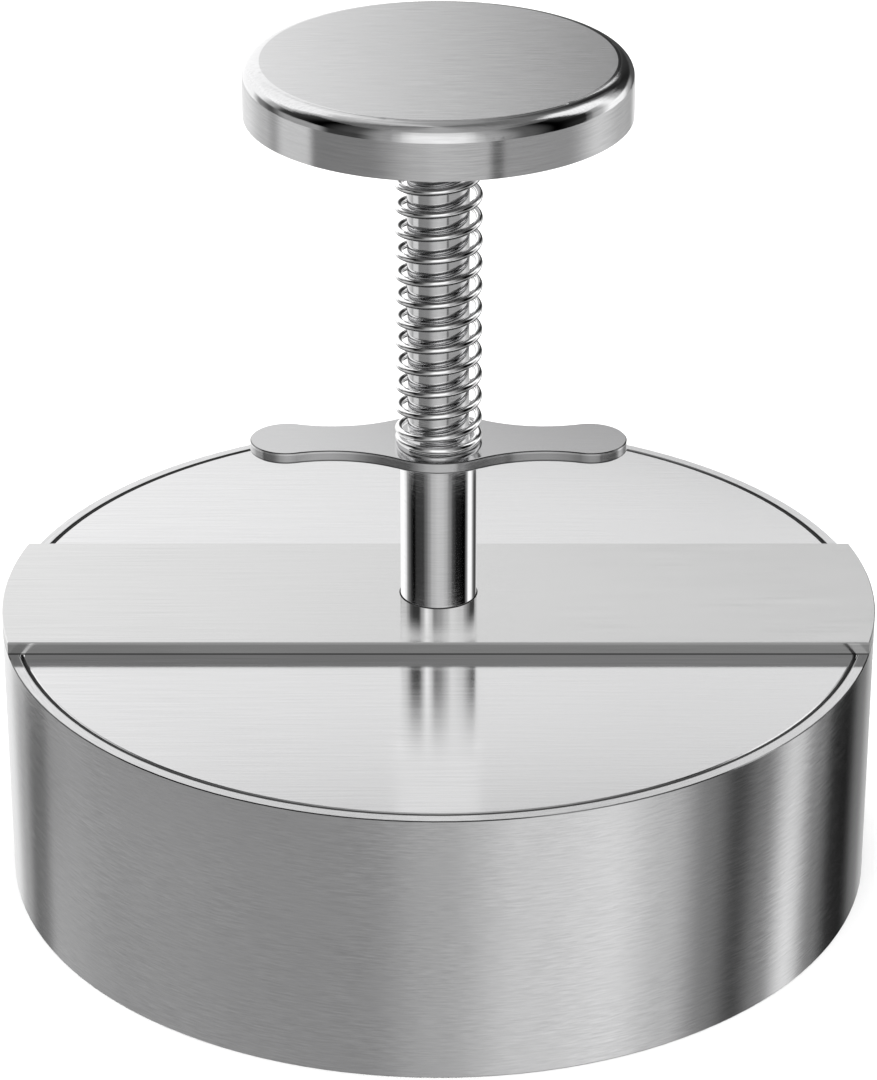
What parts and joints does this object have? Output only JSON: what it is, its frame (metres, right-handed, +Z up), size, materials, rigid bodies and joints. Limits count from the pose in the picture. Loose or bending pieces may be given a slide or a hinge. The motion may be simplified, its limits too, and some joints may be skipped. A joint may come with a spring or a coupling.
{
  "type": "patty press",
  "caption": "Round stainless steel patty press: a ring mould with a bridge bar, guide tube and finger plate, and a spring-returned press plate on a rod with a disc knob.",
  "frame": {"origin": "centre of the ring mould's lower edge, on the plane it stands on", "axes": "+Z up along the ring, tube and rod axis; X along the bridge bar and the finger plate; Y across them"},
  "size_m": [0.115, 0.115, 0.1124],
  "materials": {
    "ring_steel": "brushed round the band",
    "bar_steel": "brushed along the bar",
    "tube_steel": "polished",
    "finger_plate_steel": "fine satin",
    "rod_steel": "ground satin",
    "plate_steel": "brushed in one direction",
    "spring_wire": "bright drawn wire",
    "knob_steel": "brushed top with a polished edge",
    "knob_base_steel": "plain mill finish",
    "nut_steel": "plain"
  },
  "bodies": {
    "frame": {"ring_mould": "ring_steel", "bridge_bar": "bar_steel", "guide_tube": "tube_steel", "finger_plate": "finger_plate_steel"},
    "spring": {"return_spring": "spring_wire"},
    "plunger": {"plunger_rod": "rod_steel", "press_plate": "plate_steel", "knob_cap": "knob_steel", "knob_base": "knob_base_steel", "knob_nut": "nut_steel"}
  },
  "joints": [
    {"name": "plunge", "type": "slide", "parent": "frame", "child": "spring", "axis": [0, 0, -1], "range_m": [0, 0.0275], "stiffness_N_per_m": 589, "springref_m": -0.01, "deforming": ["return_spring"]},
    {"name": "plunger_spin", "type": "hinge", "parent": "spring", "child": "plunger", "pos_m": [0, 0, 0.08], "axis": [0, 0, 1], "continuous": true}
  ]
}
